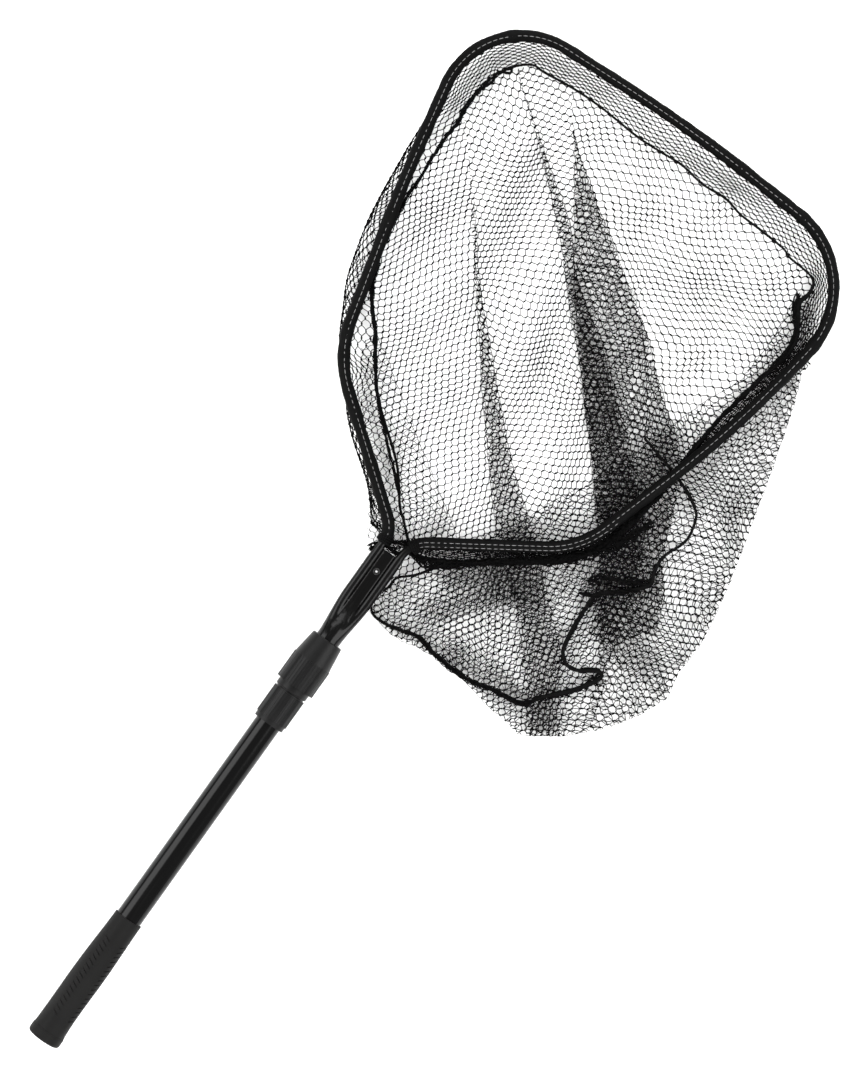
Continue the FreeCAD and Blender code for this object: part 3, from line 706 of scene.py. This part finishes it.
def frontHeight(lift=0.0):
    def height(points):
        reach = nearest(points, bagEdge)[1]
        rise = (bag["frontLevel"] - bag["edgeLevel"]) * smoothStep(0, bag["edgeReach"], reach)
        return bag["edgeLevel"] + rise + lift + bag["frontRipple"] * ripple(points)[:, 1]
    return height


# the back sheet's fold lines, from the hoop's far end down to the bag's bottom
leftFold = [(351, 131), (307, 96), (259, 47), (211, -1), (164, -51), (128, -97), (91, -142)]
leftUnder = [(54, -124), (84, -89), (132, -44), (200, 14), (270, 71)]
middleFold = [(463, 113), (417, 48), (375, 10), (323, -65), (272, -125), (211, -194), (160, -237)]
middleUnder = [(130, -196), (208, -131), (289, -58), (333, -13), (390, 41), (462, 119), (518, 192)]
rightFold = [
    (514, 115), (486, 84), (431, 2), (377, -79), (304, -170), (283, -198), (235, -227), (176, -252),
    (137, -280), (102, -295),
]
rightUnder = [(132, -198), (209, -132), (266, -78), (317, -34), (368, 8), (488, 93)]

leftPanel = [
    (31, 3), (87, 53), (136, 114), (189, 155), (227, 187), (269, 204), (324, 215), (360, 217), (405, 220),
    (437, 219), (454, 223), (410, 183), *leftFold, (54, -185), (24, -220), (-57, -275), *bottomEdge[5:12],
    (-65, -22), (-53, -16), (-13, -15),
]
middlePanel = [
    (454, 223), (478, 221), (497, 214), (510, 215), (517, 203), (526, 198), *middleFold, (71, -267),
    (-33, -299), (-56, -276), (-76, -247), (-47, -220), (31, -154), *leftUnder, (348, 135), (412, 185),
]
sliverPanel = [
    (526, 198), (539, 188), (540, 172), (543, 137), *rightFold, (66, -270), (51, -239), *middleUnder,
]
rightPanel = [
    (543, 137), (545, 98), (542, 47), (544, -14), (542, -75), (537, -128), (535, -161), (531, -172),
    (527, -206), (491, -239), (445, -263), *rightEdge, (16, -335), (-8, -320), (-33, -299), (58, -248),
    *rightUnder, (514, 115),
]
pleatLeft = [(377, 153), *leftFold, (58, -172), (30, -155), *leftUnder, (331, 120)]
pleatMiddle = [(518, 192), *middleFold, *middleUnder[:-1]]
pleatRight = [*rightFold, (77, -276), (67, -242), (89, -215), *rightUnder]
sideFlap = [
    (193, 159), (181, 137), (148, 87), (112, 32), (80, -19), (56, -54), (26, -1), (87, 53), (136, 114),
]
leftThroat = [
    (192, 161), (132, 110), (88, 65), (49, 24), (30, 2), (19, -13), (9, -1), (22, 13), (45, 39), (71, 71),
    (100, 107), (133, 137), (171, 161),
]
outsideLeft = [(60, 66), (34, 54), (6, 36), (-12, 20), (-6, 12), (14, 14), (40, 36), (66, 68)]
crease = [(377, -79), (325, -122), (289, -148), (271, -158)]

frontPanel = [
    (505, -212), (493, -205), (466, -208), (439, -210), (385, -207), (353, -193), (313, -179), (257, -161),
    (195, -139), (163, -119), (130, -106), (113, -99), (93, -86), (53, -59), (24, -57), (-2, -39), (-18, -23),
    (-32, -21), (-53, -16), (-67, -24), *bottomEdge[-2::-1], *rightEdge[-2::-1], (444, -261), (480, -243),
]
denseByArm = [
    (13, -60), (46, -78), (104, -160), (134, -194), (134, -221), (87, -213), (63, -189), (32, -184),
    (8, -208), (12, -185), (33, -149), (23, -135), (0, -90),
]
lowFold = [
    (-52, -106), (-39, -118), (-29, -156), (-32, -181), (-41, -214), (-50, -208), (-53, -162), (-64, -125),
]
tail = [(58, -248), (84, -285), (83, -313), (57, -345), (44, -341), (47, -311), (45, -285)]
throatFold = [
    (32, -63), (45, -86), (67, -111), (56, -140), (32, -145), (5, -121), (-17, -102), (-38, -85), (-37, -62),
    (-1, -70),
]

thick, thin = net["backFineness"], net["frontFineness"]
leftLayers = layPanel(leftPanel, backHeight(3), 11, turn=-3, along=13.2, across=8.0, wave=4, fineness=thick)
middleLayers = layPanel(middlePanel, backHeight(2), 12, turn=-24, along=11.9, wave=5, fineness=thick)
rightLayers = layPanel(sliverPanel, backHeight(1), 13, turn=-43, along=12.6, across=8.6, skew=-1.0,
                       fineness=thick)
rightLayers += layPanel(rightPanel, backHeight(0), 14, turn=-94, along=14.1, across=8.8, skew=-0.9, wave=5,
                        fineness=thick)

pleatLayers = []
for outline, pleats, seed, turn in ((pleatLeft, 2.5, 21, -79), (pleatMiddle, 1.5, 22, -46),
                                    (pleatRight, 0.5, 23, -16), (sideFlap, 4, 24, -63)):
    pleatLayers += layPanel(outline, backHeight(pleats), seed, turn)
for outline, seed, turn in ((leftThroat, 25, 20), (outsideLeft, 26, 48)):
    pleatLayers += layPanel(outline, backHeight(4.4), seed, turn, along=12.5, across=8.0)
for line, pleats, seed in ((pleatLeft[:9], 2.7, 31), (pleatLeft[9:], 2.7, 32), (pleatMiddle[:8], 1.7, 33),
                           (pleatMiddle[8:], 1.7, 34), (pleatRight[:10], 0.7, 35), (pleatRight[13:], 0.7, 36),
                           (sideFlap[:6], 4, 37)):
    pleatLayers += foldEdge(line, backHeight(pleats), seed)
pleatLayers += foldEdge(crease, backHeight(2), 38, net["creaseRadius"])

frontLayers = layPanel(frontPanel, frontHeight(), 41, turn=-46, along=13.5, across=8.3, wave=5, span=100,
                       fineness=thin)
for outline, lift, seed, turn, along, across, wave in (
        (denseByArm, -2.0, 42, -20, 12.5, 7.6, 5), (tail, -2.0, 43, 15, 12.5, 7.6, 4),
        (lowFold, -1.5, 44, -75, 12.0, 7.0, 4), (throatFold, -1.0, 45, 10, 12.0, 7.4, 4)):
    frontLayers += layPanel(outline, frontHeight(lift), seed, turn, along, across, wave=wave, span=60)
for line, lift, seed in ((rightEdge, 0, 51), (bottomEdge, 0, 52), (frontPanel[:14], 0.4, 53)):
    frontLayers += foldEdge(line, frontHeight(lift), seed)

netPiece("netBackLeft", leftLayers, "net_back_panel")
netPiece("netBackMiddle", middleLayers)
netPiece("netBackRight", rightLayers)
netPiece("netPleats", pleatLayers)
netPiece("netFront", frontLayers, "net_front_panel", "net_bottom_panel")


# netting that lies gathered into a thick string: its route, half width and level at each point
gatherRoutes = {
    "underArm": [(16, -10, 3, -8), (13, -24, 4, -9), (13, -38, 5, -10), (20, -52, 5, -11), (30, -66, 4, -11),
                 (46, -84, 4, -11), (63, -106, 3.6, -11), (83, -133, 4, -11), (103, -158, 5, -11),
                 (122, -177, 6, -11), (143, -193, 6, -11), (168, -208, 5, -11), (199, -220, 4, -11)],
    "insideRight": [(503, -204, 2.6, -12), (485, -212, 3, -12), (466, -227, 2.6, -12), (440, -231, 2, -12),
                    (402, -225, 2, -12), (366, -219, 2, -12), (339, -214, 2, -12), (299, -210, 2, -12),
                    (262, -209, 3, -12), (221, -206, 4, -12), (174, -198, 5, -12), (140, -186, 5, -12),
                    (112, -166, 4, -12), (80, -128, 3, -12), (46, -83, 3, -12)],
    "insideLeft": [(60, 30, 1.2, -12), (136, 114, 1.6, -12), (189, 155, 2.0, -12), (227, 187, 2.4, -12),
                   (269, 204, 2.4, -12), (324, 215, 1.8, -12), (360, 217, 1.6, -12), (405, 220, 1.8, -12),
                   (437, 219, 2.2, -12), (478, 221, 1.8, -12), (512, 212, 1.8, -12), (530, 200, 1.4, -12)],
    "leftKnot": [(-9, 22, 3, -3), (-4, 20, 4, -2), (2, 16, 3, -4), (10, 6, 3, -9), (16, -6, 4, -9),
                 (21, -16, 4, -9)],
    "betweenArms": [(1, 12, 3, -4), (4, 7, 4, -5), (5, 1, 4.5, -5), (5, -5, 4, -5), (3, -11, 3, -4)],
    "alongHem": [(98, -217, 3, -13), (60, -216, 2, -14), (21, -224, 2, -14), (13, -243, 2, -15),
                 (28, -269, 2.4, -15), (0, -262, 2.4, -15), (-33, -233, 2.6, -15), (-52, -219, 2.6, -15),
                 (-58, -183, 3, -14), (-65, -152, 3, -14), (-64, -108, 3, -14), (-58, -82, 2.2, -13),
                 (-67, -48, 1.6, -13)],
    "hemLumpUpper": [(104, -200, 3, -12), (112, -208, 5, -12), (121, -220, 3, -12), (126, -234, 3, -12),
                     (136, -247, 3.4, -12), (143, -259, 2.6, -12)],
    "hemLumpLower": [(88, -200, 2, -13), (96, -214, 3, -13), (108, -226, 3, -13), (117, -241, 3, -13),
                     (129, -253, 2, -13)],
}
gathers = {
    "strandsPerWidth": 4.5,
    "step": 5.5,
    "strandRadius": 0.62,
    "knotRadius": 1.05,
    "knotShare": 0.45,
    "shake": 0.8,
    "over": ((0.6, 2.6), (0.5, 1.1)),    # two sideways waves: share of the half width, and length in steps
    "rise": ((0.5, 2.1), (0.4, 0.9)),    # and two up and down
    "mostRise": 3.5,
}


def gather(route, seed):
    # wandering strands bundled along a route, with a knot here and there
    line = softly(route, gathers["step"])
    dice = np.random.default_rng(seed)
    ahead = headings(line[:, :2])
    side = np.column_stack([-ahead[:, 1], ahead[:, 0]])
    layers = []
    for number in range(int(gathers["strandsPerWidth"] * line[:, 2].max())):
        phase = dice.uniform(0, 2 * np.pi, 4)
        run = np.arange(len(line)) + dice.uniform(0, 1)
        waves = [size * np.sin(run / length + start)
                 for (size, length), start in zip(gathers["over"] + gathers["rise"], phase)]
        flat = line[:, :2] + side * ((waves[0] + waves[1]) * line[:, 2])[:, None]
        flat += dice.normal(0, gathers["shake"], flat.shape)
        level = line[:, 3] + (waves[2] + waves[3]) * np.minimum(line[:, 2], gathers["mostRise"])
        strand = np.column_stack([flat, level])
        rings = np.stack([strand[:-1], (strand[:-1] + strand[1:]) / 2, strand[1:]], axis=1)
        radii = np.full(rings.shape[:2], gathers["strandRadius"])
        radii[dice.uniform(0, 1, len(radii)) < gathers["knotShare"], 1] = gathers["knotRadius"]
        layers.append((rings, radii))
    return layers


gatherLayers = []
for number, route in enumerate(gatherRoutes.values()):
    gatherLayers += gather(route, 90 + number)
netPiece("netGathers", gatherLayers)


# the band between the hoop and the bag, with the bulge it makes beyond the hoop's left side
band = {
    "width": 74.0,
    "startLevel": -6.5,
    "along": 13.8,
    "across": 8.4,
    "wave": 3.0,
    "waveSpan": 90.0,
    "slack": ((1.5, 17.0, 0.0), (1.2, 7.3, 1.0)),    # waves along it: height, length, start
    "sag": 1.5,
    "bulgeReach": 40.0,
    "bulge": [
        (446, 249), (375, 247), (299, 239), (241, 224), (220, 218), (190, 202), (158, 179), (125, 149),
        (95, 123), (73, 96), (52, 67), (22, 43), (-6, 24),
    ],
}


def smoothed(values, reach, **padding):
    # a running average over a few points each way
    kernel = np.hanning(2 * reach + 1)
    return np.convolve(np.pad(values, reach, **padding), kernel / kernel.sum(), "valid")


def layBand():
    bulgeLine = softly(band["bulge"], 3.0)
    ahead = headings(hoopLine)[startOfSleeve:endOfSleeve]
    outward = np.column_stack([-ahead[:, 1], ahead[:, 0]])
    centreLine = sleeveLine
    index, _ = nearest(centreLine, mouthLine)
    target = mouthLine[index]
    target = np.column_stack([smoothed(target[:, k], 12, mode="edge") for k in range(2)])
    index, reach = nearest(centreLine, bulgeLine)
    beyond = np.einsum("ij,ij->i", bulgeLine[index] - centreLine, outward)
    beside = (index > 0) & (index < len(bulgeLine) - 1) & (reach < band["bulgeReach"])
    swell = np.where((beyond > 0) & beside, beyond, 0)
    inset = -np.einsum("ij,ij->i", target - centreLine, outward)
    swell = np.where(swell > 0, swell + inset / 2, 0)
    swell = smoothed(swell, 15)
    length = hoop["step"] * (len(centreLine) - 1)

    def mapped(flat):
        # from the flat strip to its place between the hoop and the mouth
        s = np.clip(flat[:, 0], 0, length) / hoop["step"]
        t = flat[:, 1] / band["width"]
        low = np.minimum(s.astype(int), len(centreLine) - 2)
        part = (s - low)[:, None]

        def at(values):
            values = values.reshape(len(values), -1)
            return values[low] * (1 - part) + values[low + 1] * part

        base, end, out = at(centreLine), at(target), at(outward)
        arch = (4 * t * (1 - t))[:, None]
        plan = base + (end - base) * t[:, None] + out * at(swell) * arch
        level = band["startLevel"] + (bag["mouthLevel"] - band["startLevel"]) * t
        slack = sum(size * np.sin(flat[:, 0] / run + start) for size, run, start in band["slack"])
        level = level + (slack - band["sag"]) * arch[:, 0]
        return np.column_stack([plan, level])

    outline = np.array([(0, 0), (length, 0), (length, band["width"]), (0, band["width"])], float)
    legs, strands = latticeStrands(outline.min(0), outline.max(0), 0.0, band["along"], band["across"], 0.0,
                                   61, band["wave"], band["waveSpan"])
    made = []
    for (starts, ends), isLeg in ((legs, True), (strands, False)):
        starts, ends = clipStrands(starts, ends, outline)
        points, radii = raise3d(starts, ends, lambda flat: np.zeros(len(flat)), 62 + isLeg, isLeg)
        space = mapped(points[..., :2].reshape(-1, 2)).reshape(-1, 3, 3)
        made.append((space, radii))
    return made


netPiece("netBand", layBand(), "net_band")

# seam cords

def makeCord(name, route, radius, lay, seed, replaced):
    vertices, faces = ropeStrands(route, radius, lay, seed)
    piece = meshPiece(name, vertices, faces)
    paint(piece, cordNylon)
    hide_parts(replaced)


mouthWave = rope["mouthWave"] * np.sin(np.arange(len(mouthLine)) / rope["mouthWaveLength"])
mouthRoute = np.column_stack([mouthLine, bag["mouthLevel"] + mouthWave])
makeCord("mouthCord", mouthRoute, mouthRope[:, 2], rope["mouthLay"], 71, "seam_cord_upper")
hemLine = hemRope[:, :2]
hemRoute = np.column_stack([hemLine, frontHeight(rope["hemLift"])(hemLine)])
makeCord("hemCord", hemRoute, hemRope[:, 2], rope["hemLay"], 72, "seam_cord_lower")
print("cords ready")

# the sleeve on the hoop, its stitching and its ties

sleeve = {
    "tubeRadius": 6.6,
    "lipOut": 0.12,                  # how much further the inner lip reaches, and how much flatter it is
    "lipFlat": 0.35,
    "step": 2.5,
    "sides": 28,
    "pucker": 0.25,
    "fineStep": 0.5,                 # for the stitches and ties
    "stitchPitch": 7.2,
    "stitchLength": 4.8,
    "stitchRadius": 0.4,
    "stitchLift": 0.25,
    "stitchDip": 0.35,               # how far its ends go in
    "stitchAngle": 80.0,
    "secondAngle": 122.0,            # the second row, on the right arm only
    "secondFrom": 0.86,              # the share of the sleeve where it starts
}


def sleeveSection(angle):
    # round over the tube, drawn in to a flat lip on the inner side
    out, rise = math.cos(angle), math.sin(angle)
    inner = max(0.0, out)
    return out * (1 + sleeve["lipOut"] * inner ** 3), rise * (1 - sleeve["lipFlat"] * inner ** 2)


def makeSleeve():
    line = evenly(sleeveLine, sleeve["step"])
    dice = np.random.default_rng(81)
    puckers = np.convolve(dice.normal(0, 1, len(line) + 4), np.ones(5) / 2.2, "valid")
    route = np.column_stack([line, np.zeros(len(line))])
    vertices, faces = sweep(route, sleeve["tubeRadius"] + sleeve["pucker"] * puckers, sleeve["sides"],
                            section=sleeveSection)
    piece = meshPiece("rimSleeve", vertices, faces)
    paint(piece, sleeveCloth)
    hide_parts("rim_sleeve")


makeSleeve()


def stitchRow(angle, fromShare):
    # short stitches, each dipping into the cloth at both ends
    line = evenly(sleeveLine, sleeve["fineStep"])
    ahead = headings(line)
    inward = np.column_stack([ahead[:, 1], -ahead[:, 0]])
    out, rise = sleeveSection(math.radians(angle))
    path = line + inward * (out * sleeve["tubeRadius"])
    level = rise * sleeve["tubeRadius"] + sleeve["stitchLift"]
    every = int(round(sleeve["stitchPitch"] / sleeve["fineStep"]))
    half = int(round(sleeve["stitchLength"] / sleeve["fineStep"] / 2))
    margin = half + 4
    stitches = []
    for middle in range(margin + int(fromShare * len(line)), len(line) - margin, every):
        stitches.append([np.append(path[middle + k], level - abs(k / half) * sleeve["stitchDip"])
                         for k in (-half, 0, half)])
    return np.array(stitches)


def makeStitches():
    points = np.concatenate([stitchRow(sleeve["stitchAngle"], 0.0),
                             stitchRow(sleeve["secondAngle"], sleeve["secondFrom"])])
    radii = np.tile(sleeve["stitchRadius"] * np.array([0.6, 1.0, 0.6]), (len(points), 1))
    vertices, faces = strandTubes(points, radii)
    piece = meshPiece("sleeveStitching", vertices, faces)
    # the stitches take the light grey thread, a painted highlight
    paint(piece, stitchThreadPaintedHighlight)


makeStitches()


tie = {
    "turns": 3.4,
    "pitch": 2.5,                    # millimetres along the sleeve for each turn
    "from": 2.0,                     # where the first turn starts
    "coil": 8.2,                     # radius of the coil
    "cord": 1.25,
    "points": 140,
    "sides": 8,
}


def makeTie(name, atStart, replaced):
    # a cord wound tight round the sleeve's end
    line = evenly(sleeveLine if atStart else sleeveLine[::-1], sleeve["fineStep"])
    ahead = headings(line)
    route = []
    for k in range(tie["points"]):
        turns = tie["turns"] * k / (tie["points"] - 1)
        n = int((tie["from"] + turns * tie["pitch"]) / sleeve["fineStep"])
        side = np.array([ahead[n][1], -ahead[n][0]])
        angle = 2 * math.pi * turns
        flat = line[n] + side * tie["coil"] * math.cos(angle)
        route.append((*flat, tie["coil"] * math.sin(angle)))
    vertices, faces = sweep(route, tie["cord"], tie["sides"])
    piece = meshPiece(name, vertices, faces)
    paint(piece, cordNylon)
    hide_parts(replaced)


makeTie("sleeveTieLeft", True, "sleeve_tie_left")
makeTie("sleeveTieRight", False, "sleeve_tie_right")
print("sleeve ready")
